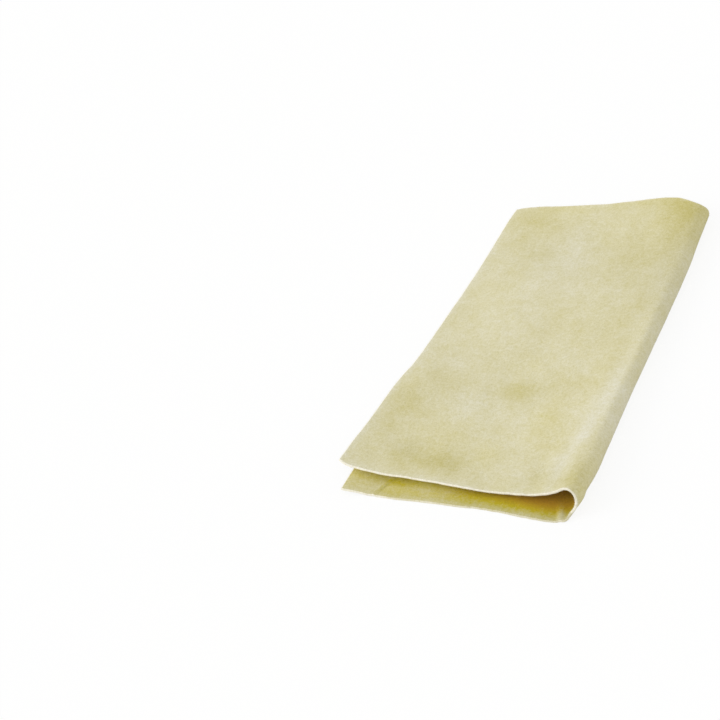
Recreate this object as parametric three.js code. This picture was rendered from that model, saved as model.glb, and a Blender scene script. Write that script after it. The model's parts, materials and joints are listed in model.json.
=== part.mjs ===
import * as THREE from 'three';

// A chamois leather folded once in half. The lower leaf lies on the table, the skin turns over in a
// round bend at +X, and the upper leaf comes back over the lower one to the open side at -X. The one
// skin is divided along the lines where it bends: two leaves, narrow strips that share out the turn
// of the bend, and the shoulder that brings the upper leaf down again.
// Millimetres, +Z up, near cut end at -Y, origin in the middle of the footprint on the table.

// The skin as it lies folded.
const skinThickness = 1.6;
const skinLength = 300;
const foldedWidth = 179;

// The bend along the folded side and the shoulder that slopes down from it to the upper leaf. The
// bend's radius is to the outside of the skin.
const bendRadius = 10.2;
const bendStripCount = 6;
const shoulderSlope = THREE.MathUtils.degToRad(15);
const shoulderLength = 16;
const hingeGap = 0.3;

// The upper leaf: how far its near edge lies back from the lower leaf's and its far edge beyond it,
// how its near open corner is rounded, and how its open side runs in towards the far end.
const setBackAtShoulder = 8.7;
const setBackAtOpenSide = 13.5;
const cornerCut = 4.5;
const cornerCutReach = 14;
const farOverhang = 3.6;
const farBulge = 2.2;
const farBulgeReach = 62;
const farCornerInset = 20;
const openSideHollow = 4.5;

// The lower leaf: how far its open side lies inside the upper leaf's at the near and the far end, the
// bow of its near cut edge and its lifted near corner.
const lowerNearInset = 7.5;
const lowerFarInset = 1.5;
const frontBow = 3.2;
const frontBowBeforeBend = 16;
const frontBowReach = 26;
const cornerLift = 2.7;
const creaseFromCorner = 20;
const creaseLean = 0.6;
const cornerLiftReach = 130;

// Air under the upper leaf, as shares of the air at the foot of the shoulder: one row each for the
// near end, the middle and the far end, read from the shoulder to the open side.
const leafLiftShares = [
  [1, 0.18, 0.37, 0.55, 0.62, 0.86],
  [1, 0.55, 0.44, 0.4, 0.37, 0.35],
  [1, 0.86, 0.53, 0.39, 0.28, 0.14],
];

// How finely each piece is divided, in counts.
const stripFacets = 3;
const shoulderFacets = 2;
const curlColumns = 2;
const leafColumns = 24;
const leafRows = 24;

// The bend turns past half a turn by the shoulder's slope, in equal steps, one at each bend line.
const bendTurn = Math.PI + shoulderSlope;
const bendStep = bendTurn / (bendStripCount + 1);
const bendCentreX = foldedWidth / 2 - bendRadius;
const bendLength = bendRadius * bendTurn;

// Point of the skin's outer face and its outward direction where the bend has turned by an angle.
function bendPoint(turn) {
  return new THREE.Vector2(
    bendCentreX + bendRadius * Math.sin(turn),
    bendRadius * (1 - Math.cos(turn)),
  );
}

function outward(turn) {
  return new THREE.Vector2(Math.sin(turn), -Math.cos(turn));
}

function along(turn) {
  return new THREE.Vector2(Math.cos(turn), Math.sin(turn));
}

const skinToFoot = bendLength + shoulderLength;

// Foot of the shoulder: the skin bends the other way here, about its underside, and the ends of
// both pieces lie in the plane that halves this bend.
const footTurn = Math.PI + shoulderSlope / 2;
const footDepth = skinThickness / Math.cos(shoulderSlope / 2);
const footOuter = bendPoint(bendTurn).addScaledVector(along(bendTurn), shoulderLength);
const footInner = footOuter.clone().addScaledVector(outward(footTurn), -footDepth);
const liftAtFoot = footInner.y - skinThickness;

const openEdgeX = -foldedWidth / 2;
const upperLeafWidth = footInner.x - openEdgeX;
const skinToOpenSide = skinToFoot + upperLeafWidth;

function smooth(share) {
  const t = THREE.MathUtils.clamp(share, 0, 1);
  return t * t * (3 - 2 * t);
}

// The lower leaf's near edge before its bow. It keeps the origin midway between the furthest points.
const nearEdgeY = -(skinLength + farOverhang + farBulge - frontBow) / 2;

// The cut ends. The place across the skin is measured along it from the start of the bend.
function nearEnd(across) {
  const fromBow = Math.abs(across + frontBowBeforeBend) / frontBowReach;
  const bow = frontBow * smooth(1 - fromBow);
  const overBend = Math.max(across, 0);
  const setBack = overBend < skinToFoot
    ? (setBackAtShoulder * overBend) / skinToFoot
    : THREE.MathUtils.mapLinear(
        overBend, skinToFoot, skinToOpenSide, setBackAtShoulder, setBackAtOpenSide);
  const corner = cornerCut * smooth(1 - (skinToOpenSide - across) / cornerCutReach);
  return nearEdgeY - bow + setBack + corner;
}

function farEnd(across) {
  const bulge = farBulge * smooth(1 - Math.abs(across - skinToFoot) / farBulgeReach);
  return nearEdgeY + skinLength + farOverhang * smooth(across / bendLength) + bulge;
}

// The open side: the upper leaf's free edge, from the near end to the far one. It is hollowed a
// little, and the lower leaf's free edge follows it further in.
function openSideX(alongShare) {
  const hollow = openSideHollow * 4 * alongShare * (1 - alongShare);
  return openEdgeX + farCornerInset * alongShare + hollow;
}

// Closed slab between an outer and an inner grid of points. Both are given as functions of the
// column across the skin and the row along it.
function slab(columns, rows, outerAt, innerAt) {
  const points = [];
  for (const pointAt of [outerAt, innerAt]) {
    for (let row = 0; row <= rows; row += 1) {
      for (let column = 0; column <= columns; column += 1) {
        points.push(...pointAt(column, row).toArray());
      }
    }
  }
  const layer = (columns + 1) * (rows + 1);
  const outer = (column, row) => row * (columns + 1) + column;
  const inner = (column, row) => layer + outer(column, row);
  const faces = [];
  const quad = (a, b, c, d) => faces.push(a, c, b, a, d, c);
  for (let row = 0; row < rows; row += 1) {
    for (let column = 0; column < columns; column += 1) {
      quad(outer(column, row), outer(column + 1, row), outer(column + 1, row + 1), outer(column, row + 1));
      quad(inner(column, row), inner(column, row + 1), inner(column + 1, row + 1), inner(column + 1, row));
    }
  }
  for (let column = 0; column < columns; column += 1) {
    quad(outer(column, 0), inner(column, 0), inner(column + 1, 0), outer(column + 1, 0));
    quad(outer(column + 1, rows), inner(column + 1, rows), inner(column, rows), outer(column, rows));
  }
  for (let row = 0; row < rows; row += 1) {
    quad(outer(0, row + 1), inner(0, row + 1), inner(0, row), outer(0, row));
    quad(outer(columns, row), inner(columns, row), inner(columns, row + 1), outer(columns, row + 1));
  }
  const geometry = new THREE.BufferGeometry();
  geometry.setAttribute('position', new THREE.Float32BufferAttribute(points, 3));
  geometry.setIndex(faces);
  geometry.computeVertexNormals();
  return geometry;
}

const leather = new THREE.MeshStandardMaterial({ color: 0xd9d3a8, roughness: 0.95, metalness: 0 });
const foldedLeather = new THREE.MeshStandardMaterial({ color: 0xccc597, roughness: 0.95, metalness: 0 });

function piece(name, geometry, material) {
  const mesh = new THREE.Mesh(geometry, material);
  mesh.name = name;
  return mesh;
}

// A piece of the bend from a list of sections, each an outer point, an inner point and its place
// across the skin.
function bendPiece(name, sections) {
  const pointAt = (side) => (column, row) => {
    const section = sections[column];
    const y = row === 0 ? nearEnd(section.across) : farEnd(section.across);
    return new THREE.Vector3(section[side].x, y, section[side].y);
  };
  return piece(name, slab(sections.length - 1, 1, pointAt('outer'), pointAt('inner')), foldedLeather);
}

// Section square to the skin where the bend has turned by an angle, moved along the skin a little.
function squareSection(turn, shift) {
  const outer = bendPoint(turn).addScaledVector(along(turn), shift);
  const inner = outer.clone().addScaledVector(outward(turn), -skinThickness);
  return { outer, inner, across: bendRadius * turn + shift };
}

function bendStrip(index) {
  const start = (index - 0.5) * bendStep;
  const sections = [];
  for (let i = 0; i <= stripFacets; i += 1) {
    const shift = hingeGap * (0.5 - i / stripFacets);
    sections.push(squareSection(start + (i / stripFacets) * bendStep, shift));
  }
  return bendPiece(`fold_strip_${index}`, sections);
}

function shoulder() {
  const start = bendTurn - bendStep / 2;
  const sections = [];
  for (let i = 0; i <= shoulderFacets; i += 1) {
    const shift = (hingeGap / 2) * (1 - i / shoulderFacets);
    sections.push(squareSection(start + ((i / shoulderFacets) * bendStep) / 2, shift));
  }
  const back = along(bendTurn).multiplyScalar(-hingeGap / 2);
  sections.push({
    outer: footOuter.clone().add(back),
    inner: footInner.clone().add(back),
    across: skinToFoot,
  });
  return bendPiece('fold_shoulder', sections);
}

// The lower leaf lies flat on the table, curls up into the first half step of the bend and lifts a
// little at its near open corner, left of a slanting crease.
function lowerLeaf() {
  const flatColumns = leafColumns - curlColumns;
  const section = (column, openX) => {
    if (column <= flatColumns) {
      const x = THREE.MathUtils.lerp(openX, bendCentreX, column / flatColumns);
      return {
        outer: new THREE.Vector2(x, 0),
        inner: new THREE.Vector2(x, skinThickness),
        across: x - bendCentreX,
      };
    }
    const share = (column - flatColumns) / curlColumns;
    return squareSection((share * bendStep) / 2, (-hingeGap / 2) * share);
  };
  const liftAt = (fromOpenSide, fromNearEnd) => {
    const beyondCrease = creaseFromCorner + creaseLean * fromNearEnd - fromOpenSide;
    const lift = (cornerLift * Math.max(0, beyondCrease)) / creaseFromCorner;
    return Math.min(lift, cornerLift) * (1 - smooth(fromNearEnd / cornerLiftReach));
  };
  const pointAt = (side) => (column, row) => {
    const alongShare = row / leafRows;
    const inset = THREE.MathUtils.lerp(lowerNearInset, lowerFarInset, alongShare);
    const openX = openSideX(alongShare) + inset;
    const { across, [side]: point } = section(column, openX);
    const fromNearEnd = (farEnd(across) - nearEnd(across)) * alongShare;
    const z = point.y + liftAt(point.x - openX, fromNearEnd);
    return new THREE.Vector3(point.x, nearEnd(across) + fromNearEnd, z);
  };
  return piece('lower_leaf', slab(leafColumns, leafRows, pointAt('outer'), pointAt('inner')), leather);
}

// Smooth curve through evenly spaced values.
function through(values, share) {
  const place = THREE.MathUtils.clamp(share, 0, 1) * (values.length - 1);
  const index = Math.min(Math.floor(place), values.length - 2);
  const t = place - index;
  const at = (i) => values[THREE.MathUtils.clamp(i, 0, values.length - 1)];
  const slopeIn = (at(index + 1) - at(index - 1)) / 2;
  const slopeOut = (at(index + 2) - at(index)) / 2;
  const change = at(index + 1) - at(index);
  const bend = 3 * change - 2 * slopeIn - slopeOut;
  const twist = slopeIn + slopeOut - 2 * change;
  return at(index) + t * (slopeIn + t * (bend + t * twist));
}

function leafLift(acrossShare, alongShare) {
  const stations = leafLiftShares.map((row) => through(row, acrossShare));
  return liftAtFoot * through(stations, alongShare);
}

// The upper leaf runs from the foot of the shoulder to the open side and is wavy, as dry leather is.
function upperLeaf() {
  const pointAt = (side) => (column, row) => {
    const acrossShare = column / leafColumns;
    const alongShare = row / leafRows;
    const end = THREE.MathUtils.lerp(skinToFoot, skinToOpenSide, acrossShare);
    const y = THREE.MathUtils.lerp(nearEnd(end), farEnd(end), alongShare);
    const start = side === 'outer' ? footOuter : footInner;
    const x = THREE.MathUtils.lerp(start.x - hingeGap / 2, openSideX(alongShare), acrossShare);
    const rise = leafLift(acrossShare, alongShare) - liftAtFoot;
    return new THREE.Vector3(x, y, start.y + rise);
  };
  return piece('upper_leaf', slab(leafColumns, leafRows, pointAt('outer'), pointAt('inner')), leather);
}

const chamois = new THREE.Group();
chamois.add(lowerLeaf());
for (let index = 1; index <= bendStripCount; index += 1) {
  chamois.add(bendStrip(index));
}
chamois.add(shoulder(), upperLeaf());

export default chamois;
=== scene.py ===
import json
import math

import bpy
import numpy as np
from mathutils import Matrix, Vector


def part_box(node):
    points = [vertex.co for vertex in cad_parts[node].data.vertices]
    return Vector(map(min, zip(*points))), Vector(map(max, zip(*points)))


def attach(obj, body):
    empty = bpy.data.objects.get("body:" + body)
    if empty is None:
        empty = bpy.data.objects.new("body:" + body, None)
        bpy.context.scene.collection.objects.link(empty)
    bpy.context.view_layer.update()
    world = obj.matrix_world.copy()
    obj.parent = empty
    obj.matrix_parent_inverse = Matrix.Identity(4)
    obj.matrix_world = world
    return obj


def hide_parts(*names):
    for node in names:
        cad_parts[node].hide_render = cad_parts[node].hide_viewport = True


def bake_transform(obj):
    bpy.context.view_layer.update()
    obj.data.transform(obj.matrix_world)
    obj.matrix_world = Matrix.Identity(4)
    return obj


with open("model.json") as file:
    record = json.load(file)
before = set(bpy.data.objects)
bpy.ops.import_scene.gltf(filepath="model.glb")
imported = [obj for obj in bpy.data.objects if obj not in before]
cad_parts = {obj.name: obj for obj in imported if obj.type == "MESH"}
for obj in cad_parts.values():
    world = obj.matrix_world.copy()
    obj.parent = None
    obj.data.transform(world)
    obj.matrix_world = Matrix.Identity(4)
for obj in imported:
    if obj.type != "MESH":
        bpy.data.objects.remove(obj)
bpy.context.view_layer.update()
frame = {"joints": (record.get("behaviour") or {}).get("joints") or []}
mm = 0.001

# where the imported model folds
joints = {joint["name"]: joint for joint in frame["joints"]}
bendNames = sorted(name for name in joints if name.startswith("fold_bend_"))
bendCount = len(bendNames)
bendStep = math.radians(joints[bendNames[0]]["range_deg"][1])
strips = [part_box(f"fold_strip_{i}") for i in range(1, bendCount)]
foldX = max(box[1].x for box in strips)
bendRadius = max(box[1].z for box in strips) / 2
print("frame read,", bendCount, "bend lines, radius", round(bendRadius / mm, 2), "mm")

# the skin as it lies folded, in millimetres unless it says otherwise
skin = {
    "thickness": 1.6,
    "length": 300,
    "insideModel": 1.8,  # how far the seen fold lies inside the model's fold side
    "nearBow": 3.2,  # how far the model's lower leaf bows out beyond its near edge
    "flatPatternMetres": 0.4,  # side of the square that the skin's UV map spans
    "flatAcross": 160,  # where the bend starts on the unfolded skin
    "flatAlong": 150,  # where the middle of the model lies along the unfolded skin
    "endRound": 0.55,  # how far the cut edge bulges
    "roundShares": [0.25, 0.5, 0.75],  # where it has a row of points, from face to face
    "roundPower": 0.6,  # 1 is a half circle, and less is squarer
    "leastNormal": 1e-9,  # keeps a normal's length above nothing
    "rows": 300,
    "pathPoints": 2400,  # along each cross section
    "smoothAcross": 1.1,
    "seed": 11,
}

# places across the skin are measured in from the fold side that the photograph shows
sideX = foldX / mm - skin["insideModel"]

# cross sections from the near end to the far end, at these shares of the length
stationShares = [0, 0.12, 0.25, 0.45, 0.8, 0.9, 1]

# the fold: distance in from the fold side and height of the middle of the skin
foldSections = [
    [
        (8.2, 1.8), (6.9, 4.0), (4.7, 6.2), (2.6, 9.5), (1.9, 13.0), (2.5, 16.3), (4.2, 18.6),
        (6.7, 19.8), (9.5, 19.3), (12.8, 17.2), (16.8, 14.2), (24.9, 10.4), (36.0, 7.4),
    ],
    [
        (6.2, 1.6), (3.6, 3.5), (1.5, 6.0), (0.4, 9.4), (0.2, 12.7), (1.0, 15.6), (3.0, 17.4),
        (5.8, 18.2), (9.3, 18.1), (13.4, 16.9), (18.0, 14.9), (26.0, 11.5), (36.0, 8.4),
    ],
    [
        (5.4, 1.6), (2.8, 3.0), (1.3, 5.4), (0.8, 8.6), (1.0, 11.8), (1.8, 14.2), (3.4, 15.7),
        (5.8, 16.2), (9.4, 15.4), (13.7, 14.0), (18.6, 12.5), (26.5, 10.6), (36.0, 9.0),
    ],
    [
        (4.0, 1.6), (1.5, 2.9), (0.2, 5.2), (-0.3, 8.2), (-0.1, 11.0), (0.5, 13.3), (1.8, 14.6),
        (3.9, 15.0), (7.5, 14.3), (12.5, 13.2), (18.6, 12.3), (27.0, 11.0), (36.0, 9.8),
    ],
    [
        (3.2, 1.5), (0.5, 2.8), (-0.9, 5.1), (-1.3, 8.0), (-1.0, 10.7), (0.2, 12.9), (2.3, 14.2),
        (5.4, 14.9), (9.6, 15.2), (14.3, 15.1), (19.5, 14.6), (28.0, 13.4), (36.0, 12.1),
    ],
    [
        (3.8, 1.5), (1.3, 2.8), (0.1, 4.9), (-0.1, 7.6), (0.2, 10.3), (1.6, 12.8), (4.4, 14.4),
        (8.2, 15.1), (12.6, 15.4), (17.5, 15.3), (22.5, 15.0), (30.0, 14.3), (36.0, 13.4),
    ],
    [
        (4.0, 1.4), (1.8, 2.7), (0.6, 4.8), (0.4, 7.5), (0.9, 10.1), (3.2, 12.8), (7.2, 14.6),
        (12.0, 15.3), (16.4, 15.4), (21.0, 15.3), (25.4, 15.1), (31.0, 14.9), (36.0, 14.5),
    ],
]
# how far each of those points lies back from the near end, and beyond the far end
foldBack = [-1.0, 1.4, 2.8, 3.9, 5.0, 6.0, 6.9, 7.7, 8.3, 8.8, 9.3, 9.9, 10.5]
foldBeyond = [0.0, 0.2, 0.3, 0.4, 0.2, -0.4, 0.2, 1.6, 3.3, 4.9, 5.7, 6.0, 6.0]

# the upper leaf: heights at these shares of the way from the shoulder to its open side
leafShares = [0.1, 0.2, 0.35, 0.5, 0.65, 0.8, 0.9, 0.96, 1]
leafHeights = [
    [6.3, 5.7, 7.0, 8.4, 9.0, 9.4, 10.9, 12.0, 12.8],
    [7.0, 6.3, 6.9, 8.1, 8.7, 9.0, 9.9, 10.6, 11.1],
    [7.9, 7.0, 7.0, 7.9, 8.4, 8.6, 9.0, 9.3, 9.5],
    [8.8, 7.9, 7.3, 7.4, 7.4, 7.3, 7.3, 7.3, 7.3],
    [10.7, 9.4, 7.6, 6.5, 5.9, 5.4, 5.1, 4.9, 4.8],
    [12.0, 10.3, 8.1, 7.0, 6.1, 5.5, 5.0, 4.6, 4.2],
    [12.9, 11.1, 8.7, 7.5, 6.4, 5.5, 4.8, 4.0, 3.4],
]
leafBack = [10.6, 10.7, 10.9, 11.4, 12.2, 13.1, 13.8, 15.0, 17.6]
leafBeyond = [5.8, 5.4, 4.7, 4.0, 3.8, 3.8, 3.6, 3.0, 1.6]

# its open side, in from the fold side, and how far the fold side itself wanders outwards
openShares = [0, 0.06, 0.13, 0.22, 0.3, 0.36, 0.45, 0.55, 0.65, 0.75, 0.85, 0.95, 1]
openSides = [176.6, 175.4, 173.0, 171.0, 168.2, 165, 162.6, 160.4, 158.8, 157, 156, 155.4, 154.2]
foldShares = [0, 0.03, 0.06, 0.1, 0.13, 0.18, 0.3, 0.42, 0.56, 0.7, 0.86, 1]
foldOutwards = [0.3, 1.5, 0.5, 0.9, 1.1, 0.8, 0.2, -0.3, 0.0, 0.2, -0.1, -0.5]
foldWander = {"fullTo": 4, "fadeOver": 22}  # how far in the fold side's wander is felt

# the lower leaf: distances in from the fold side, its bow at the near end and its open side
lowerInwards = [140, 100, 66, 48, 36, 25, 16, 11.5]
lowerBack = [0, 0, 0, -1.2, -2.6, -3.5, -3.0, -2.5]
lowerOpenSides = [169.5, 167.8, 166.0, 162.0, 157.0, 156.0, 155.2]
lowerCorner = {
    "lift": 3.6, "creaseIn": 22.5, "creaseLean": 0.45, "reach": 120, "ridge": 0.9, "ridgeWidth": 0.9,
}
# the small pinch where the skin starts to turn up at the near end
heelPinch = {"inward": 12.2, "lean": 0.32, "height": 0.9, "width": 1.9, "reach": 19}

# how far in the skin is divided, and how many columns each piece has
division = {
    "lowerEnd": 19.5,
    "shoulderMiddle": 19.5,
    "shoulderEnd": 36.0,
    "lowerColumns": 120,
    "bendColumns": 8,
    "firstColumns": 16,
    "shoulderColumns": 14,
    "leafColumns": 136,
}
relief = {
    "waveSize": 34, "waveHeight": 0.35,
    "dimpleSize": 9, "dimpleHeight": 0.16, "dimplesOnFold": 0.3,
    "grainSize": 3.2, "grainHeight": 0.05,
    "bodySize": 18, "bodyHeight": 0.12,  # the skin is thicker and thinner in places
    "edgeSize": 14, "edgeWander": 0.35,
    "fineEdges": 3, "fineEdgeShare": 0.4,  # a finer wander, so many times smaller
    "upperRise": 4, "lowerRise": 6,  # the relief comes in over a quarter and a sixth of a leaf
}
noiseLattice = {"cells": 64, "startX": 17.3, "startY": 5.1}


def smoothCurve(knots, values, places):
    # a curve through the values that never overshoots them; values may hold several columns
    knots, values, places = (np.asarray(a, float) for a in (knots, values, places))
    gaps = np.diff(knots)
    slopes = np.diff(values, axis=0) / gaps.reshape(-1, *[1] * (values.ndim - 1))
    before, after = slopes[:-1], slopes[1:]
    same = before * after > 0
    tangents = np.zeros_like(values)
    meeting = 2 * before * after / np.where(same, before + after, 1)
    tangents[1:-1] = np.where(same, meeting, 0)
    tangents[0], tangents[-1] = slopes[0], slopes[-1]
    index = np.clip(np.searchsorted(knots, places, side="right") - 1, 0, len(gaps) - 1)
    shape = (-1, *[1] * (values.ndim - 1))
    gap = gaps[index].reshape(shape)
    t = ((places - knots[index]) / gaps[index]).reshape(shape)
    low, high = values[index], values[index + 1]
    return (
        low * (1 + 2 * t) * (1 - t) ** 2 + high * t * t * (3 - 2 * t)
        + gap * (tangents[index] * t * (1 - t) ** 2 - tangents[index + 1] * t * t * (1 - t))
    )


def smoothStep(share):
    t = np.clip(share, 0, 1)
    return t * t * (3 - 2 * t)


def softNoise(x, y, size, seed):
    # value noise from about -1 to 1 on a lattice of the given size
    cells = noiseLattice["cells"]
    lattice = np.random.RandomState(seed).uniform(-1, 1, (cells, cells))
    px, py = x / size + noiseLattice["startX"], y / size + noiseLattice["startY"]
    ix, iy = np.floor(px).astype(int), np.floor(py).astype(int)
    tx, ty = smoothStep(px - ix), smoothStep(py - iy)

    def corner(i, j):
        return lattice[(ix + i) % cells, (iy + j) % cells]

    low = corner(0, 0) * (1 - tx) + corner(1, 0) * tx
    high = corner(0, 1) * (1 - tx) + corner(1, 1) * tx
    return low * (1 - ty) + high * ty


def sectionPoints(station):
    # control points of one cross section: inward distance, height, back, beyond
    half = skin["thickness"] / 2
    points = [(lowerOpenSides[station], half, 0, 0)]
    for inward, back in zip(lowerInwards, lowerBack):
        points.append((inward, half, back, 0))
    for (inward, height), back, beyond in zip(foldSections[station], foldBack, foldBeyond):
        points.append((inward, height, back, beyond))
    leaf = zip(leafShares, leafHeights[station], leafBack, leafBeyond)
    for share, height, back, beyond in leaf:
        points.append((share, height, back, beyond))
    return np.array(points, float)


def placeAcross(points, along):
    # the upper leaf reaches its open side, and the fold side wanders a little
    start = points[-len(leafShares) - 1, 0]
    openSide = smoothCurve(openShares, openSides, [along])[0]
    points[-len(leafShares):, 0] = start + (openSide - start) * np.array(leafShares)
    atFold = 1 - smoothStep((points[:, 0] - foldWander["fullTo"]) / foldWander["fadeOver"])
    points[:, 0] -= atFold * smoothCurve(foldShares, foldOutwards, [along])[0]


def blur(values, spacing, reach, reaches=2.5):
    # a running average along the curve, over a few reaches either side, with both ends held
    half = max(1, int(round(reaches * reach / spacing)))
    kernel = np.exp(-0.5 * (np.arange(-half, half + 1) * spacing / reach) ** 2)
    kernel /= kernel.sum()
    padded = np.concatenate([
        2 * values[:1] - values[half:0:-1], values, 2 * values[-1:] - values[-2:-half - 2:-1]
    ])
    return np.stack([np.convolve(column, kernel, "valid") for column in padded.T], axis=1)


def densePath(points):
    # the section as closely spaced points, evenly apart
    steps = np.hypot(*np.diff(points[:, :2], axis=0).T)
    along = np.concatenate([[0], np.cumsum(steps)])
    places = np.linspace(0, along[-1], skin["pathPoints"])
    path = smoothCurve(along, points, places)
    path[:, :2] = blur(path[:, :2], places[1], skin["smoothAcross"])
    return path


def crossing(path, side, low, high):
    # place along the path, between two of its indices, where side changes sign
    values = side(path[low:high])
    index = int(np.argmax(np.sign(values[1:]) != np.sign(values[:-1])))
    a, b = values[index], values[index + 1]
    return low + index + a / (a - b)


def dividedSection(path):
    # the places along the path where one piece ends and the next begins
    last = len(path)
    centre = np.array([bendRadius / mm - skin["insideModel"], bendRadius / mm])
    marks = [0.0]
    marks.append(crossing(path, lambda p: p[:, 0] - division["lowerEnd"], 0, last))
    for index in range(1, bendCount):
        turn = index * bendStep
        normal = np.array([-math.cos(turn), math.sin(turn)])
        low = int(marks[-1]) + 1
        marks.append(crossing(path, lambda p: (p[:, :2] - centre) @ normal, low, last))
    low = int(marks[-1]) + 1
    marks.append(crossing(path, lambda p: p[:, 0] - division["shoulderMiddle"], low, last))
    low = int(marks[-1]) + 1
    marks.append(crossing(path, lambda p: p[:, 0] - division["shoulderEnd"], low, last))
    marks.append(last - 1.0)
    return marks


pieceColumns = (
    [division["lowerColumns"], division["firstColumns"]]
    + [division["bendColumns"]] * (bendCount - 2)
    + [division["firstColumns"], division["shoulderColumns"], division["leafColumns"]]
)
pieceStarts = [0, *np.cumsum(pieceColumns)]


def skinMiddle():
    # grid of points of the middle of the skin, in metres: rows along the fold, columns across it
    rowShares = np.linspace(0, 1, skin["rows"] + 1)
    stations = np.array([sectionPoints(i) for i in range(len(stationShares))])
    sections = smoothCurve(stationShares, stations, rowShares)
    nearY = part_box("lower_leaf")[0].y / mm + skin["nearBow"]
    grid = np.zeros((len(rowShares), pieceStarts[-1] + 1, 3))
    for row, (share, points) in enumerate(zip(rowShares, sections)):
        placeAcross(points, share)
        path = densePath(points)
        marks = dividedSection(path)
        places = [
            np.linspace(start, end, count, endpoint=False)
            for start, end, count in zip(marks, marks[1:], pieceColumns)
        ]
        places = np.concatenate([*places, [marks[-1]]])
        inward, height, back, beyond = (
            np.interp(places, np.arange(len(path)), path[:, i]) for i in range(4)
        )
        grid[row, :, 0] = sideX - inward
        grid[row, :, 1] = nearY + back + share * (skin["length"] + beyond - back)
        grid[row, :, 2] = height
    return grid


def flatCoordinates(grid):
    # place of each point on the unfolded skin, across it and along it, in millimetres
    steps = np.linalg.norm(np.diff(grid[:, :, [0, 2]], axis=1), axis=2)
    across = np.concatenate([np.zeros((len(grid), 1)), np.cumsum(steps, axis=1)], axis=1)
    across -= across[:, pieceStarts[1]][:, None] - skin["flatAcross"]
    return across, grid[:, :, 1] + skin["flatAlong"]


def roughen(grid, across, along):
    # soft waves and dimples, and a hand-cut wander of the edges
    edgeSize, seed = relief["edgeSize"], skin["seed"]
    wander = softNoise(across, along * 0, edgeSize, seed) * relief["edgeWander"]
    fineWander = softNoise(across, along * 0, edgeSize / relief["fineEdges"], seed + 1)
    grid[:, :, 1] += wander + relief["fineEdgeShare"] * relief["edgeWander"] * fineWander
    column = np.arange(grid.shape[1])
    leafStart, last = pieceStarts[-3], grid.shape[1] - 1
    onLeaf = smoothStep((column - leafStart) / (last - leafStart) * relief["upperRise"])
    onLower = smoothStep((pieceStarts[1] - column) / pieceStarts[1] * relief["lowerRise"])
    waves = softNoise(across, along, relief["waveSize"], seed + 2)
    dimples = softNoise(across, along, relief["dimpleSize"], seed + 3)
    grid[:, :, 2] += waves * relief["waveHeight"] * onLeaf
    dimpled = onLeaf + relief["dimplesOnFold"] * (1 - onLeaf - onLower)
    grid[:, :, 2] += dimples * relief["dimpleHeight"] * dimpled


def liftCorner(grid, fromNear):
    # the lower leaf's near open corner lifts beyond a slanting crease
    fromOpen = grid[:, :, 0] - grid[:, :1, 0]
    creaseAt = lowerCorner["creaseIn"] + lowerCorner["creaseLean"] * fromNear
    lift = np.clip((creaseAt - fromOpen) / lowerCorner["creaseIn"], 0, 1) * lowerCorner["lift"]
    lift += np.exp(-((creaseAt - fromOpen) / lowerCorner["ridgeWidth"]) ** 2) * lowerCorner["ridge"]
    lift *= 1 - smoothStep(fromNear / lowerCorner["reach"])
    lift[:, pieceStarts[1]:] = 0
    grid[:, :, 2] += lift


def pinchHeel(grid, fromNear):
    # a small pinch runs back from the near end where the skin starts to turn up
    pinchAt = heelPinch["inward"] + heelPinch["lean"] * fromNear
    fromPinch = sideX - grid[:, :, 0] - pinchAt
    pinch = np.exp(-(fromPinch / heelPinch["width"]) ** 2) * heelPinch["height"]
    pinch *= 1 - smoothStep(fromNear / heelPinch["reach"])
    pinch[:, pieceStarts[3]:] = 0
    grid[:, :, 2] += pinch


def unit(vectors):
    return vectors / np.linalg.norm(vectors, axis=-1, keepdims=True)


def gridNormals(grid):
    across = np.gradient(grid, axis=1)
    along = np.gradient(grid, axis=0)
    return unit(np.cross(along, across))


def skinFaces():
    # grids of the skin's middle, outer face and inner face in metres, and its unfolded places
    grid = skinMiddle()
    across, along = flatCoordinates(grid)
    roughen(grid, across, along)
    fromNear = along - along[:1]
    liftCorner(grid, fromNear)
    pinchHeel(grid, fromNear)
    normal = gridNormals(grid)
    grainSize, seed = relief["grainSize"], skin["seed"]
    outerGrain = softNoise(across, along, grainSize, seed + 4) * relief["grainHeight"]
    innerGrain = softNoise(across, along, grainSize, seed + 5) * relief["grainHeight"]
    body = softNoise(across, along, relief["bodySize"], seed + 6) * relief["bodyHeight"]
    half = skin["thickness"] / 2 + body
    outerFace = grid + normal * (half + outerGrain)[:, :, None]
    innerFace = grid - normal * (half + innerGrain)[:, :, None]
    outerFace[:, :, 2] = np.maximum(outerFace[:, :, 2], 0)
    return grid * mm, outerFace * mm, innerFace * mm, across, along


middle, outer, inner, flatAcross, flatAlong = skinFaces()
outerNormals, innerNormals = gridNormals(outer), -gridNormals(inner)
print("skin shaped,", middle.shape[0], "rows by", middle.shape[1], "columns")


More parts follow.
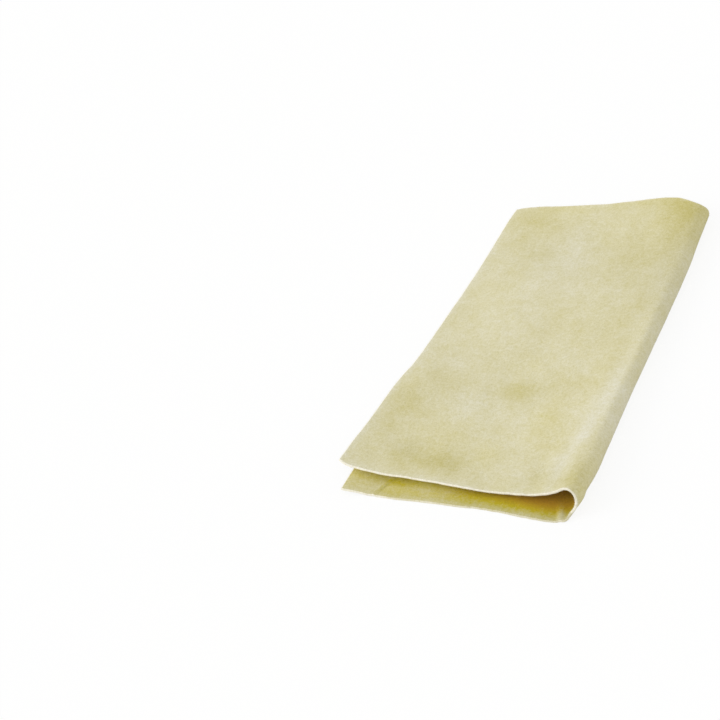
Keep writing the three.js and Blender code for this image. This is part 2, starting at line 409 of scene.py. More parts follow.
# soft patches of the outer face, partly the leather's own uneven tone and partly a painted highlight
# along the fold's ridge and painted shade on its side and far corner: in from the fold side, along from
# the near end, reach across and along, all in millimetres, and how much brighter and how much richer in
# colour
toneAndPaintedLightPatches = [
    (134, 22, 11, 8, -0.11, 0.15), (108, 57, 14, 11, 0.03, -0.02), (104, 17, 12, 6, -0.10, 0.13),
    (13, 7, 5, 6, -0.06, 0.08), (80, 88, 10, 9, -0.11, 0.34), (144, 92, 12, 20, -0.04, 0.05),
    (154, 58, 10, 20, -0.05, 0.14), (119, 238, 14, 16, -0.02, 0.0), (30, 224, 18, 26, -0.045, 0.05),
    (74, 112, 10, 9, 0.03, 0.0), (162, 88, 9, 9, 0.04, 0.0), (24, 205, 24, 26, -0.03, 0.02),
    (4, 14, 10, 20, -0.05, 0.28), (12, 282, 18, 22, -0.03, 0.2), (10, 16, 5, 12, -0.06, 0.0),
    (2, 80, 4, 44, 0.04, -0.15), (12, 190, 9, 24, -0.025, 0.06), (26, 150, 16, 20, -0.035, 0.06),
    (37, 15, 7, 8, -0.07, 0.05), (118, 16, 22, 8, -0.02, 0.14), (22, 18, 5, 16, -0.01, -0.24),
    (143, 288, 20, 14, -0.04, 0.15), (61, 60, 13, 18, 0.05, -0.08), (134, 180, 18, 26, 0.05, -0.05),
    (108, 145, 22, 25, 0.03, -0.05), (100, 272, 20, 16, 0.03, -0.08), (9, 100, 4, 24, 0.02, -0.18),
    (13, 71, 5, 22, 0.03, -0.22), (15, 44, 4.5, 14, 0.06, -0.25), (102, 72, 18, 14, 0.02, -0.12),
    (15, 292, 14, 22, -0.08, 0.22), (11, 270, 7, 30, -0.05, 0.10), (60, 300, 60, 9, -0.02, 0.18),
    (46, 66, 8, 14, 0.0, 0.12), (118, 36, 16, 14, 0.0, 0.10), (84, 229, 22, 26, 0.0, -0.14),
    (95, 173, 30, 30, 0.02, -0.06), (9, 196, 8, 30, 0.0, -0.12),
    (80, 262, 60, 24, -0.03, 0.12), (110, 291, 12, 8, -0.02, 0.2), (78, 30, 8, 8, -0.02, 0.2),
]
# the outer face fades to the cream of the cut edge, further in towards the open side, and along it
rim = {
    "reach": 0.9, "reachMore": 1.6, "moreFrom": 55, "moreOver": 60, "sideReach": 3.1,
    "brighter": 0.08, "richer": -0.3,
}
# the inner face's yellow and richness are partly its own colour and partly painted bounce light of
# the shaded gap, yellowest a little way in from its near edge; a painted deep shade lies beside the
# fold, and a painted shade under the upper leaf;
# distances are in from the near edge, or in from the fold side where the note says so
innerTintAndPaintedShade = {
    "atEdge": 0.55, "fullBy": 4.5, "fadesOver": 60, "least": 0.42,
    "lessAtOpenSide": 0.4, "openReach": 3,
    "deepFrom": 2.5, "deepOver": 13, "deepFadesOver": 65,
    "deepEverywhere": 0.28,
    "deepAtFold": 0.52, "deepIn": 28, "deepReach": 24,  # in from the fold side
    "richer": 0.45, "richFrom": 1.5, "richOver": 9, "richFadesOver": 45, "paintedShadeUnderLeaf": 0.1,
}
# towards the open side it is paler, a painted light where light reaches into the gap, most of all in a
# band along the near edge
innerPaintedLight = {
    "from": 68, "over": 45,  # in from the fold side
    "lessYellow": 0.22, "brighter": 0.2, "lessRich": 1.0,
    "bandTo": 8.5, "bandFadesOver": 5, "pastBand": 0.15,
}
# the lifted corner takes less of the painted light, shade and bounce yellow, and a painted shadow runs
# dark along the crease before it
cornerPaintedShade = {
    "lessYellow": 0.6, "lessBright": 0.7, "fadesOver": 3, "fadesAlong": 40,
    "creaseDarker": 0.24, "creaseBefore": 1, "creaseWidth": 0.8,
    "creaseFrom": 1, "creaseOver": 6, "creaseFadesAlong": 60,
}
# a painted highlight along one side of the small pinch, which also takes away the inner face's yellow
# and deep shade there
pinchHighlight = {"pale": 0.9, "side": 0.8, "width": 2.4, "brighter": 0.15}
# how much of the cream the lower leaf's cut edge has, most of it at the lifted corner
edgeCream = {"least": 0.35, "more": 0.5, "from": 128, "over": 14}


def fades(distance, start, over):
    # 0 up to start and 1 from start + over
    return smoothStep((distance - start) / over)


def outerShades(inward, fromNear, fromCut):
    # how much brighter and how much richer the outer face is, painted highlight and shade included
    tone, richness = np.zeros_like(inward), np.zeros_like(inward)
    for across, along, reachAcross, reachAlong, brighter, richer in toneAndPaintedLightPatches:
        spread = ((inward - across) / reachAcross) ** 2 + ((fromNear - along) / reachAlong) ** 2
        tone += brighter * np.exp(-0.5 * spread)
        richness += richer * np.exp(-0.5 * spread)
    reach = rim["reach"] + rim["reachMore"] * fades(inward, rim["moreFrom"], rim["moreOver"])
    fromOpen = inward[:, -1:] - inward
    atRim = np.maximum(np.exp(-fromCut / reach), np.exp(-fromOpen / rim["sideReach"]))
    return tone + rim["brighter"] * atRim, richness + rim["richer"] * atRim


def cornerShades(fromOpen, fromNear):
    # where the lower leaf's lifted corner is, and the painted shadow along the crease before it
    pastCrease = fromOpen - lowerCorner["creaseIn"] - lowerCorner["creaseLean"] * fromNear
    corner = smoothStep(-pastCrease / cornerPaintedShade["fadesOver"])
    corner *= 1 - smoothStep(fromNear / cornerPaintedShade["fadesAlong"])
    fromCrease = pastCrease - cornerPaintedShade["creaseBefore"]
    creaseShadow = np.exp(-(fromCrease / cornerPaintedShade["creaseWidth"]) ** 2)
    creaseShadow *= fades(fromNear, cornerPaintedShade["creaseFrom"], cornerPaintedShade["creaseOver"])
    creaseShadow *= 1 - smoothStep(fromNear / cornerPaintedShade["creaseFadesAlong"])
    corner[:, pieceStarts[1]:] = 0
    creaseShadow[:, pieceStarts[1]:] = 0
    return corner, creaseShadow


def heelHighlight(inward, fromNear):
    # a painted highlight on one side of the small pinch
    fromPinch = inward - heelPinch["inward"] - heelPinch["lean"] * fromNear + pinchHighlight["side"]
    pinchLit = np.exp(-(fromPinch / pinchHighlight["width"]) ** 2) * pinchHighlight["pale"]
    pinchLit *= 1 - smoothStep(fromNear / heelPinch["reach"])
    pinchLit[:, pieceStarts[3]:] = 0
    return pinchLit


def innerShades(inward, fromNear, fromCut):
    # how much painted light and shade and how much richness the inner face has, how yellow, partly
    # painted bounce light, and how much painted deep shade
    fromOpen = inward[:, :1] - inward
    corner, creaseShadow = cornerShades(fromOpen, fromNear)
    pinchLit = heelHighlight(inward, fromNear)
    paleSide = fades(inward, innerPaintedLight["from"], innerPaintedLight["over"])
    pastBand = fades(fromNear, innerPaintedLight["bandTo"], innerPaintedLight["bandFadesOver"])
    paleBand = paleSide * (1 - (1 - innerPaintedLight["pastBand"]) * pastBand)

    atEdge, least = innerTintAndPaintedShade["atEdge"], innerTintAndPaintedShade["least"]
    yellow = atEdge + (1 - atEdge) * smoothStep(fromCut / innerTintAndPaintedShade["fullBy"])
    yellow *= least + (1 - least) * np.exp(-fromNear / innerTintAndPaintedShade["fadesOver"])
    atOpen = np.exp(-np.maximum(fromOpen, 0) / innerTintAndPaintedShade["openReach"])
    yellow *= 1 - innerTintAndPaintedShade["lessAtOpenSide"] * atOpen
    yellow *= 1 - innerPaintedLight["lessYellow"] * paleSide
    yellow *= 1 - cornerPaintedShade["lessYellow"] * corner
    yellow *= 1 - pinchLit

    besideFold = np.exp(-0.5 * ((inward - innerTintAndPaintedShade["deepIn"]) / innerTintAndPaintedShade["deepReach"]) ** 2)
    paintedDeepShade = innerTintAndPaintedShade["deepEverywhere"] * (1 - paleSide) + innerTintAndPaintedShade["deepAtFold"] * besideFold
    paintedDeepShade *= fades(fromNear, innerTintAndPaintedShade["deepFrom"], innerTintAndPaintedShade["deepOver"])
    paintedDeepShade *= np.exp(-fromNear / innerTintAndPaintedShade["deepFadesOver"])
    paintedDeepShade *= 1 - cornerPaintedShade["lessYellow"] * corner
    paintedDeepShade *= 1 - pinchLit

    away = np.exp(-fromNear / innerTintAndPaintedShade["richFadesOver"])
    inFromEdge = away * fades(fromNear, innerTintAndPaintedShade["richFrom"], innerTintAndPaintedShade["richOver"])
    richness = innerTintAndPaintedShade["richer"] * inFromEdge * (1 - innerPaintedLight["lessRich"] * paleBand)
    tone = pinchHighlight["brighter"] * pinchLit - cornerPaintedShade["creaseDarker"] * creaseShadow
    paler = inFromEdge * paleSide * (1 - cornerPaintedShade["lessBright"] * corner)
    # painted light towards the open side, and a painted shade under the upper leaf elsewhere
    tone += innerPaintedLight["brighter"] * paler - innerTintAndPaintedShade["paintedShadeUnderLeaf"] * (1 - paleSide) * away
    return tone, richness, yellow, paintedDeepShade


def faceShades():
    # over the grid of the skin, a pair for its outer and its inner face: brightness and richness,
    # partly painted light and shade, how much of the inner face's yellow, partly painted bounce light,
    # how much painted deep shade, and how much cream the cut edge has
    inward = sideX - middle[:, :, 0] / mm
    fromNear = (middle[:, :, 1] - middle[:1, :, 1]) / mm
    fromFar = (middle[-1:, :, 1] - middle[:, :, 1]) / mm
    fromCut = np.minimum(fromNear, fromFar)
    outerTone, outerRich = outerShades(inward, fromNear, fromCut)
    innerTone, innerRich, yellow, paintedDeepShade = innerShades(inward, fromNear, fromCut)
    # the upper leaf's cut edge is all cream
    cream = fades(inward, edgeCream["from"], edgeCream["over"]) * edgeCream["more"]
    cream = np.where(np.arange(middle.shape[1]) > pieceStarts[2], 1, cream + edgeCream["least"])
    none = np.zeros_like(inward)
    return {
        "tone": (outerTone, innerTone), "richness": (outerRich, innerRich),
        "innerTintAndBounce": (none, yellow), "paintedDeepShade": (none, paintedDeepShade), "cream": (cream, cream),
    }


shades = faceShades()


def hexColour(text):
    # a colour as it is seen on a screen, as the shader's linear values
    parts = [int(text[i:i + 2], 16) / 255 for i in (0, 2, 4)]
    linear = [p / 12.92 if p <= 0.04045 else ((p + 0.055) / 1.055) ** 2.4 for p in parts]
    return (*linear, 1)


def newMaterial(name):
    material = bpy.data.materials.new(name)
    material.use_nodes = True
    return material, material.node_tree.nodes["Principled BSDF"]


def addNode(tree, kind, **settings):
    # each setting is a property of the node or, failing that, the value of its input
    node = tree.nodes.new(kind)
    for key, value in settings.items():
        if hasattr(node, key):
            setattr(node, key, value)
        else:
            node.inputs[key].default_value = value
    return node


def fill(tree, socket, value):
    # an input takes a plain value or another node's output
    if isinstance(value, (int, float, tuple)):
        socket.default_value = value
    else:
        tree.links.new(value, socket)


def maths(tree, operation, *values):
    node = addNode(tree, "ShaderNodeMath", operation=operation)
    for socket, value in zip(node.inputs, values):
        fill(tree, socket, value)
    return node.outputs[0]


def mixColours(tree, factor, a, b):
    # a colour mix has its factor at input 0, its colours at inputs 6 and 7 and its result at 2
    node = addNode(tree, "ShaderNodeMix", data_type="RGBA")
    for index, value in ((0, factor), (6, a), (7, b)):
        fill(tree, node.inputs[index], value)
    return node.outputs[2]


chamois = {
    # the inner colour stands partly for painted bounce light, and the deep colour is a painted shade
    # beside the fold
    "outer": "DFD8AE", "inner": "CCC062", "paintedDeepShade": "B6742E", "cutEdge": "FFFAE8", "fibre": "FAF5DE",
    "roughness": 0.94, "sheen": 0.18, "sheenRoughness": 0.6, "specular": 0.12,
    # noise: cells per metre, detail, how much brighter and how much less rich
    "clouds": (20, 3, 0.16, 0.5),
    "blotches": (52, 4, 0.15, 0.5),
    "mottle": (150, 3, 0.14, 0.45),
    "speckle": (430, 2, 0.26, 0.6),
    "nap": (1100, 2, 0.42, 0.5),
    "noiseRoughness": 0.6, "noiseMiddle": 0.5,
    "bumpStrength": 0.5, "bumpHeight": 0.0005,  # metres
}


def chamoisMaterial(name, isCutEdge):
    material, shader = newMaterial(name)
    tree = material.node_tree
    links = tree.links
    place = addNode(tree, "ShaderNodeUVMap", uv_map="flatSkin")
    metres = addNode(tree, "ShaderNodeMapping")
    metres.inputs["Scale"].default_value = [skin["flatPatternMetres"]] * 3
    links.new(place.outputs["UV"], metres.inputs["Vector"])

    def shade(attribute):
        return addNode(tree, "ShaderNodeAttribute", attribute_name=attribute).outputs["Fac"]

    # the tone attribute carries the leather's own patches and also painted light and shade
    bright = maths(tree, "ADD", shade("tone"), 1.0)
    rich = maths(tree, "ADD", shade("richness"), 1.0)
    heights = []
    for kind in ("clouds", "blotches", "mottle", "speckle", "nap"):
        cells, detail, brighter, lessRich = chamois[kind]
        noise = addNode(
            tree, "ShaderNodeTexNoise", Scale=cells, Detail=detail, Roughness=chamois["noiseRoughness"])
        links.new(metres.outputs["Vector"], noise.inputs["Vector"])
        field = maths(tree, "SUBTRACT", noise.outputs["Fac"], chamois["noiseMiddle"])
        bright = maths(tree, "MULTIPLY_ADD", field, brighter, bright)
        rich = maths(tree, "MULTIPLY_ADD", field, -lessRich, rich)
        if kind in ("speckle", "nap"):
            heights.append(field)
    # the inner face's yellow is partly its own colour and partly painted bounce light
    colour = mixColours(
        tree, shade("innerTintAndBounce"), hexColour(chamois["outer"]), hexColour(chamois["inner"]))
    # painted deep shade of the gap beside the fold
    colour = mixColours(tree, shade("paintedDeepShade"), colour, hexColour(chamois["paintedDeepShade"]))
    if isCutEdge:
        colour = mixColours(tree, shade("cream"), colour, hexColour(chamois["cutEdge"]))
    varied = addNode(tree, "ShaderNodeHueSaturation")
    links.new(colour, varied.inputs["Color"])
    links.new(bright, varied.inputs["Value"])
    links.new(rich, varied.inputs["Saturation"])
    links.new(varied.outputs["Color"], shader.inputs["Base Color"])

    bump = addNode(
        tree, "ShaderNodeBump", Strength=chamois["bumpStrength"], Distance=chamois["bumpHeight"])
    links.new(maths(tree, "ADD", *heights), bump.inputs["Height"])
    links.new(bump.outputs["Normal"], shader.inputs["Normal"])
    shader.inputs["Roughness"].default_value = chamois["roughness"]
    shader.inputs["Sheen Weight"].default_value = chamois["sheen"]
    shader.inputs["Sheen Roughness"].default_value = chamois["sheenRoughness"]
    shader.inputs["Specular IOR Level"].default_value = chamois["specular"]
    return material


leatherMaterial = chamoisMaterial("chamois_leather", False)
edgeMaterial = chamoisMaterial("chamois_cut_edge", True)
print("materials made")


def boundaryLoop(rows, columns):
    # grid places round the edge of a piece, in order
    near = [(0, c) for c in range(columns)]
    right = [(r, columns) for r in range(rows)]
    far = [(rows, c) for c in range(columns, 0, -1)]
    left = [(r, 0) for r in range(rows, 0, -1)]
    return near + right + far + left


faceKinds = {"skin": 0, "cutEdge": 1, "seam": 2}


def outwardsAtCut(mid, r, c, index):
    # which way the cut edge faces at each place round a piece, and nothing where it meets the next
    rows, columns = mid.shape[0] - 1, mid.shape[1] - 1
    alongRow = unit(np.gradient(mid, axis=0))[r, c]
    acrossRow = unit(np.gradient(mid, axis=1))[r, c]
    outwards = np.zeros((len(r), 3))
    outwards -= alongRow * (r == 0)[:, None]
    outwards += alongRow * (r == rows)[:, None]
    if index == 0:
        outwards -= acrossRow * (c == 0)[:, None]
    if index == len(pieceColumns) - 1:
        outwards += acrossRow * (c == columns)[:, None]
    return outwards


def isCutThere(rows, columns, r, c, index):
    # which sides round a piece are cut edge, each from its own place to the next
    isCut = (r == 0) | (r == rows)
    if index == 0:
        isCut |= c == 0
    if index == len(pieceColumns) - 1:
        isCut |= c == columns
    return isCut & np.roll(isCut, -1)


def edgeRings(top, bottom, topNormals, outwards):
    # rings of points and their normals round the cut edge, from the outer face to the inner one
    rings, normals = [], []
    for share in skin["roundShares"]:
        sine, cosine = math.sin(share * math.pi), math.cos(share * math.pi)
        out = skin["endRound"] * mm * sine ** skin["roundPower"]
        depth = 0.5 - 0.5 * np.sign(cosine) * abs(cosine) ** skin["roundPower"]
        ring = top * (1 - depth) + bottom * depth + outwards * out
        ring[:, 2] = np.maximum(ring[:, 2], 0)
        rings.append(ring)
        normals.append(unit(outwards + topNormals * cosine + skin["leastNormal"]))
    return rings, normals


def pieceFaces(number, levels, isCut):
    # faces of four corners, and of what kind each is: skin, cut edge or where it meets the next
    nearLeft, nearRight = number[:-1, :-1].ravel(), number[:-1, 1:].ravel()
    farLeft, farRight = number[1:, :-1].ravel(), number[1:, 1:].ravel()
    faces = [
        np.stack([nearLeft, farLeft, farRight, nearRight], 1),
        np.stack([nearLeft, nearRight, farRight, farLeft], 1) + number.size,
    ]
    kinds = [np.full(2 * len(nearLeft), faceKinds["skin"])]
    for upper, lower in zip(levels, levels[1:]):
        faces.append(np.stack([upper, np.roll(upper, -1), np.roll(lower, -1), lower], 1))
        kinds.append(np.where(isCut, faceKinds["cutEdge"], faceKinds["seam"]))
    return np.concatenate(faces), np.concatenate(kinds)


def skinPiece(name, index):
    # one closed piece of the skin: two faces and a rounded cut edge, flat where it meets the next
    part = slice(pieceStarts[index], pieceStarts[index + 1] + 1)
    top, bottom, topNormals = outer[:, part], inner[:, part], outerNormals[:, part]
    rows, columns = top.shape[0] - 1, top.shape[1] - 1
    number = np.arange((rows + 1) * (columns + 1)).reshape(rows + 1, columns + 1)
    r, c = np.array(boundaryLoop(rows, columns)).T
    outwards = outwardsAtCut(middle[:, part], r, c, index)
    rings, ringNormals = edgeRings(top[r, c], bottom[r, c], topNormals[r, c], outwards)
    points = np.concatenate([top.reshape(-1, 3), bottom.reshape(-1, 3), *rings])
    normals = np.concatenate(
        [topNormals.reshape(-1, 3), innerNormals[:, part].reshape(-1, 3), *ringNormals])
    flat = np.stack([flatAcross[:, part], flatAlong[:, part]], axis=2) * mm / skin["flatPatternMetres"]
    flats = np.concatenate([flat.reshape(-1, 2)] * 2 + [flat[r, c]] * len(rings))

    ringStarts = 2 * number.size + len(r) * np.arange(len(rings))
    levels = [number[r, c], *(start + np.arange(len(r)) for start in ringStarts)]
    levels.append(number[r, c] + number.size)
    isCut = isCutThere(rows, columns, r, c, index)
    faces, kinds = pieceFaces(number, levels, isCut)

    mesh = bpy.data.meshes.new(name)
    mesh.from_pydata(points.tolist(), [], faces.tolist())
    mesh.polygons.foreach_set("material_index", np.where(kinds == faceKinds["cutEdge"], 1, 0))
    mesh.polygons.foreach_set("use_smooth", np.ones(len(kinds), bool))
    for shadeName, sides in shades.items():
        outerSide, innerSide = (side[:, part].ravel() for side in sides)
        between = (outerSide[number[r, c]] + innerSide[number[r, c]]) / 2
        values = np.concatenate([outerSide, innerSide, *[between] * len(rings)])
        mesh.attributes.new(shadeName, "FLOAT", "POINT").data.foreach_set("value", values)
    corners = faces.ravel()
    mesh.uv_layers.new(name="flatSkin").data.foreach_set("uv", flats[corners].ravel())
    mesh.materials.append(leatherMaterial)
    mesh.materials.append(edgeMaterial)
    mesh.update()
    # the faces where it meets the next piece are shaded flat
    cornerNormals = normals[corners]
    faceNormals = np.zeros(len(faces) * 3)
    mesh.polygons.foreach_get("normal", faceNormals)
    atSeam = np.repeat(kinds == faceKinds["seam"], 4)
    cornerNormals[atSeam] = np.repeat(faceNormals.reshape(-1, 3), 4, axis=0)[atSeam]
    mesh.normals_split_custom_set(cornerNormals.tolist())
    piece = bpy.data.objects.new(name, mesh)
    bpy.context.scene.collection.objects.link(piece)
    return piece


pieceNames = (
    ["lower_leaf_skin"] + [f"fold_skin_{i}" for i in range(1, bendCount + 2)] + ["upper_leaf_skin"]
)
bodyNames = ["lower_leaf"] + [f"fold_strip_{i}" for i in range(1, bendCount)]
bodyNames += ["fold_shoulder", "upper_leaf"]
hingeNames = bendNames + ["shoulder_foot_bend"]
pieces = [skinPiece(name, index) for index, name in enumerate(pieceNames)]
print("skin pieces made,", sum(len(p.data.polygons) for p in pieces), "faces")


# fine fibres that stand out along the cut edges, in millimetres unless it says otherwise
nap = {
    "perSquareMetre": 5.5e6, "length": 0.75, "width": 0.11,
    "lean": 0.9,  # radians, at most
    "shortest": 0.5, "longest": 1.3,  # times the length
    "lowest": -0.35,  # how far down a face may look and still have fibres
    "sides": 3, "roughness": 1, "specular": 0.05,
}


def napMaterial():
    material, shader = newMaterial("chamois_nap")
    shader.inputs["Base Color"].default_value = hexColour(chamois["fibre"])
    shader.inputs["Roughness"].default_value = nap["roughness"]
    shader.inputs["Specular IOR Level"].default_value = nap["specular"]
    return material


def napTree():
    # a node tree that grows fibres on the cut edge faces of a piece of skin
    tree = bpy.data.node_groups.new("edge_nap", "GeometryNodeTree")
    wanted = {
        "Skin": "NodeSocketGeometry", "Fibres per square metre": "NodeSocketFloat",
        "Fibre length": "NodeSocketFloat", "Fibre width": "NodeSocketFloat",
        "Lean": "NodeSocketFloat", "Seed": "NodeSocketInt",
    }
    sockets = {
        name: tree.interface.new_socket(name=name, in_out="INPUT", socket_type=kind).identifier
        for name, kind in wanted.items()
    }
    tree.interface.new_socket(name="Nap", in_out="OUTPUT", socket_type="NodeSocketGeometry")
    links = tree.links
    given, made = addNode(tree, "NodeGroupInput"), addNode(tree, "NodeGroupOutput")

    facing = addNode(tree, "ShaderNodeSeparateXYZ")
    links.new(addNode(tree, "GeometryNodeInputNormal").outputs[0], facing.inputs[0])
    notBelow = maths(tree, "GREATER_THAN", facing.outputs["Z"], nap["lowest"])
    index = addNode(tree, "GeometryNodeInputMaterialIndex").outputs[0]
    isEdge = maths(tree, "GREATER_THAN", index, 0.5)  # the cut edge's material is the second
    onEdge = maths(tree, "MULTIPLY", isEdge, notBelow)
    scatter = addNode(tree, "GeometryNodeDistributePointsOnFaces")
    links.new(given.outputs["Skin"], scatter.inputs["Mesh"])
    links.new(onEdge, scatter.inputs["Selection"])
    links.new(given.outputs["Fibres per square metre"], scatter.inputs["Density"])
    links.new(given.outputs["Seed"], scatter.inputs["Seed"])

    fibre = addNode(tree, "GeometryNodeMeshCone")
    fibre.inputs["Vertices"].default_value = nap["sides"]
    fibre.inputs["Radius Top"].default_value = 0
    radius = maths(tree, "MULTIPLY", given.outputs["Fibre width"], 0.5)
    links.new(radius, fibre.inputs["Radius Bottom"])
    links.new(given.outputs["Fibre length"], fibre.inputs["Depth"])

    tilt = addNode(tree, "FunctionNodeRandomValue", data_type="FLOAT_VECTOR")
    reach = addNode(tree, "ShaderNodeCombineXYZ")
    back = addNode(tree, "ShaderNodeCombineXYZ")
    for axis in ("X", "Y"):
        links.new(given.outputs["Lean"], reach.inputs[axis])
        links.new(maths(tree, "MULTIPLY", given.outputs["Lean"], -1), back.inputs[axis])
    reach.inputs["Z"].default_value = math.pi
    back.inputs["Z"].default_value = -math.pi
    links.new(back.outputs[0], tilt.inputs[0])
    links.new(reach.outputs[0], tilt.inputs[1])
    links.new(given.outputs["Seed"], tilt.inputs["Seed"])
    turned = addNode(tree, "FunctionNodeRotateRotation", rotation_space="LOCAL")
    links.new(scatter.outputs["Rotation"], turned.inputs[0])
    links.new(tilt.outputs[0], turned.inputs[1])
    stretch = addNode(tree, "FunctionNodeRandomValue", data_type="FLOAT")
    stretch.inputs[2].default_value = nap["shortest"]
    stretch.inputs[3].default_value = nap["longest"]
    links.new(maths(tree, "ADD", given.outputs["Seed"], 1), stretch.inputs["Seed"])

    place = addNode(tree, "GeometryNodeInstanceOnPoints")
    links.new(scatter.outputs["Points"], place.inputs["Points"])
    links.new(fibre.outputs["Mesh"], place.inputs["Instance"])
    links.new(turned.outputs[0], place.inputs["Rotation"])
    links.new(stretch.outputs[1], place.inputs["Scale"])
    realize = addNode(tree, "GeometryNodeRealizeInstances")
    links.new(place.outputs["Instances"], realize.inputs["Geometry"])
    paint = addNode(tree, "GeometryNodeSetMaterial")
    paint.inputs["Material"].default_value = napMaterial()
    links.new(realize.outputs["Geometry"], paint.inputs["Geometry"])
    links.new(paint.outputs["Geometry"], made.inputs["Nap"])
    return tree, sockets


def growNap(piece, name, tree, sockets, seed):
    # the fibres of one piece as a plain mesh, none of them under the floor
    fibres = bpy.data.objects.new(name, piece.data.copy())
    bpy.context.scene.collection.objects.link(fibres)
    growth = fibres.modifiers.new("nap", "NODES")
    growth.node_group = tree
    growth[sockets["Fibres per square metre"]] = nap["perSquareMetre"]
    growth[sockets["Fibre length"]] = nap["length"] * mm
    growth[sockets["Fibre width"]] = nap["width"] * mm
    growth[sockets["Lean"]] = nap["lean"]
    growth[sockets["Seed"]] = seed
    bpy.context.view_layer.update()
    shown = fibres.evaluated_get(bpy.context.evaluated_depsgraph_get())
    grown = bpy.data.meshes.new_from_object(shown)
    points = np.zeros(len(grown.vertices) * 3)
    grown.vertices.foreach_get("co", points)
    points[2::3] = np.maximum(points[2::3], 0)
    grown.vertices.foreach_set("co", points)
    fibres.modifiers.remove(growth)
    fibres.data = grown
    grown.name = name
    return fibres


nodeTree, nodeSockets = napTree()
naps = [
    growNap(piece, name.replace("skin", "nap"), nodeTree, nodeSockets, skin["seed"] + index)
    for index, (piece, name) in enumerate(zip(pieces, pieceNames))
]
print("nap grown,", sum(len(fibres.data.polygons) for fibres in naps), "faces")


bendRoom = 0.96  # share of the room beside a bend line that the bend takes


def hingeTurn(index):
    # which way the skin runs at a bend line, half way through that bend
    if index < bendCount:
        return (index + 0.5) * bendStep
    return math.pi


def bendWindow(index):
    # how far either side of the bend line the skin may turn, in its own piece
    hinge = Vector(joints[hingeNames[index]]["pos_m"])
    turn = hingeTurn(index)
    direction = Vector((math.cos(turn), 0, math.sin(turn)))
    first, last = pieceStarts[index + 1], pieceStarts[index + 2]
    ends = []
    for column in (first, last):
        edge = np.concatenate([outer[:, column], inner[:, column]]) - np.array(hinge)
        ends.append(edge @ np.array(direction))
    reach = bendRoom * min(-ends[0].max(), ends[1].min())
    print(hingeNames[index], "turns within", round(reach / mm, 2), "mm of its line")
    return hinge - direction * reach, hinge + direction * reach


# floor, light and camera
stage = {
    "floorSize": 6.0,  # metres
    "floorColour": "F2F2F0",
    "whiteShare": 0.85, "whiteStrength": 1.03,  # how white the camera sees the floor
    "worldStrength": 0.76, "keyStrength": 1.0,
    "keySoftness": 40,  # degrees across the sun
    "keyFrom": (-0.78, -0.416, 0.468),  # direction from the skin towards the light
}
photoCamera = {
    "place": (477.2, -796.5, 763.3),  # millimetres
    "azimuth": 38.06, "elevation": 37.86, "roll": -21.38,  # degrees
    "lens": 85.13, "sensor": 36,  # millimetres
    "nearest": 0.05,  # metres
}


def whiteToCamera(tree, plain, white, share, surface):
    # what the camera sees straight on is white, and everything else gets the plain shader
    path = addNode(tree, "ShaderNodeLightPath")
    seen = maths(tree, "MAXIMUM", path.outputs["Is Camera Ray"], path.outputs["Is Glossy Ray"])
    seen = maths(tree, "MAXIMUM", seen, path.outputs["Is Transmission Ray"])
    mixer = addNode(tree, "ShaderNodeMixShader")
    tree.links.new(maths(tree, "MULTIPLY", seen, share), mixer.inputs["Fac"])
    tree.links.new(plain, mixer.inputs[1])
    tree.links.new(white, mixer.inputs[2])
    tree.links.new(mixer.outputs[0], surface)


def makeFloor():
    half = stage["floorSize"] / 2
    corners = [(-half, -half, 0), (half, -half, 0), (half, half, 0), (-half, half, 0)]
    mesh = bpy.data.meshes.new("floor")
    mesh.from_pydata(corners, [], [(0, 1, 2, 3)])
    floor = bpy.data.objects.new("floor", mesh)
    bpy.context.scene.collection.objects.link(floor)
    material, shader = newMaterial("floor_white")
    tree = material.node_tree
    shader.inputs["Base Color"].default_value = hexColour(stage["floorColour"])
    shader.inputs["Roughness"].default_value = 1
    shader.inputs["Specular IOR Level"].default_value = 0
    white = addNode(tree, "ShaderNodeEmission", Strength=stage["whiteStrength"])
    surface = tree.nodes["Material Output"].inputs["Surface"]
    whiteToCamera(tree, shader.outputs[0], white.outputs[0], stage["whiteShare"], surface)
    mesh.materials.append(material)


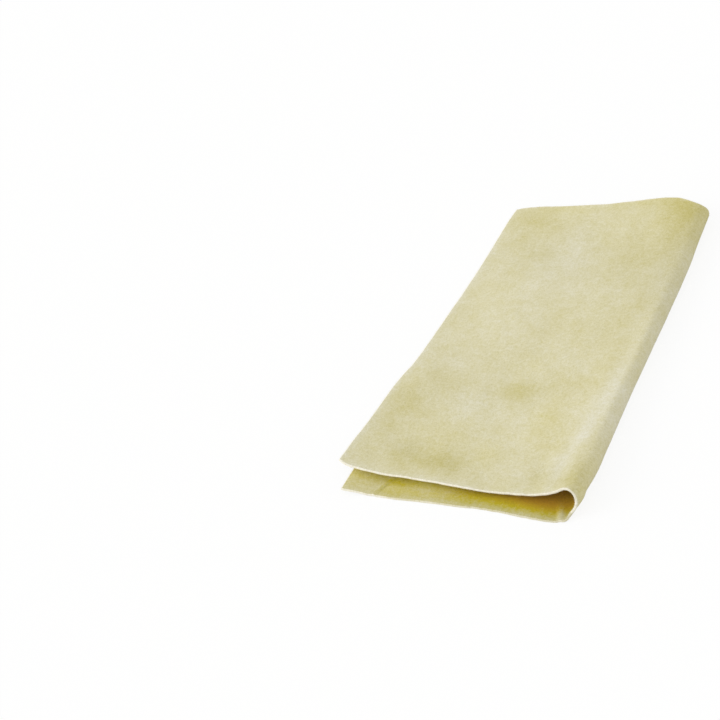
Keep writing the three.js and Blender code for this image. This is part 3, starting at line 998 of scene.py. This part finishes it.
def makeRoom():
    world = bpy.data.worlds.new("pale_room")
    world.use_nodes = True
    bpy.context.scene.world = world
    tree = world.node_tree
    plain = tree.nodes["Background"]
    white = addNode(tree, "ShaderNodeBackground", Strength=1.0)
    plain.inputs["Strength"].default_value = stage["worldStrength"]
    for background in (plain, white):
        background.inputs["Color"].default_value = (1, 1, 1, 1)
    surface = tree.nodes["World Output"].inputs["Surface"]
    whiteToCamera(tree, plain.outputs[0], white.outputs[0], 1.0, surface)


def makeLight():
    sun = bpy.data.lights.new("soft_key", "SUN")
    sun.energy = stage["keyStrength"]
    sun.angle = math.radians(stage["keySoftness"])
    key = bpy.data.objects.new("soft_key", sun)
    key.rotation_euler = Vector(stage["keyFrom"]).to_track_quat("Z", "Y").to_euler()
    bpy.context.scene.collection.objects.link(key)


def makeCamera():
    azimuth = math.radians(photoCamera["azimuth"])
    elevation = math.radians(photoCamera["elevation"])
    back = Vector((
        math.sin(azimuth) * math.cos(elevation),
        -math.cos(azimuth) * math.cos(elevation),
        math.sin(elevation),
    ))
    right = Vector((0, 0, 1)).cross(back).normalized()
    up = back.cross(right)
    level = Matrix((right, up, back)).transposed()
    turned = level @ Matrix.Rotation(math.radians(photoCamera["roll"]), 3, "Z")
    lens = bpy.data.cameras.new("photo_camera")
    lens.lens = photoCamera["lens"]
    lens.sensor_width = photoCamera["sensor"]
    lens.clip_start = photoCamera["nearest"]
    camera = bpy.data.objects.new("photo_camera", lens)
    camera.matrix_world = Matrix.Translation(Vector(photoCamera["place"]) * mm) @ turned.to_4x4()
    bpy.context.scene.collection.objects.link(camera)
    bpy.context.scene.camera = camera


makeFloor()
makeRoom()
makeLight()
makeCamera()
bpy.context.scene.view_settings.view_transform = "Standard"
print("stage, light and camera made")

for index, (piece, fibres) in enumerate(zip(pieces, naps)):
    if 0 < index < len(pieces) - 1:
        start, end = bendWindow(index - 1)
    for shown in (piece, fibres):
        if index == 0:
            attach(shown, bodyNames[0])
        elif index == len(pieces) - 1:
            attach(shown, bodyNames[-1])
        else:
            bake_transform(shown)
    if index == len(pieces) - 1:
        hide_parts(bodyNames[-1])
    elif index < len(bodyNames) - 1:
        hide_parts(bodyNames[index])

# one skin lies folded
print("pieces ride on their bodies")
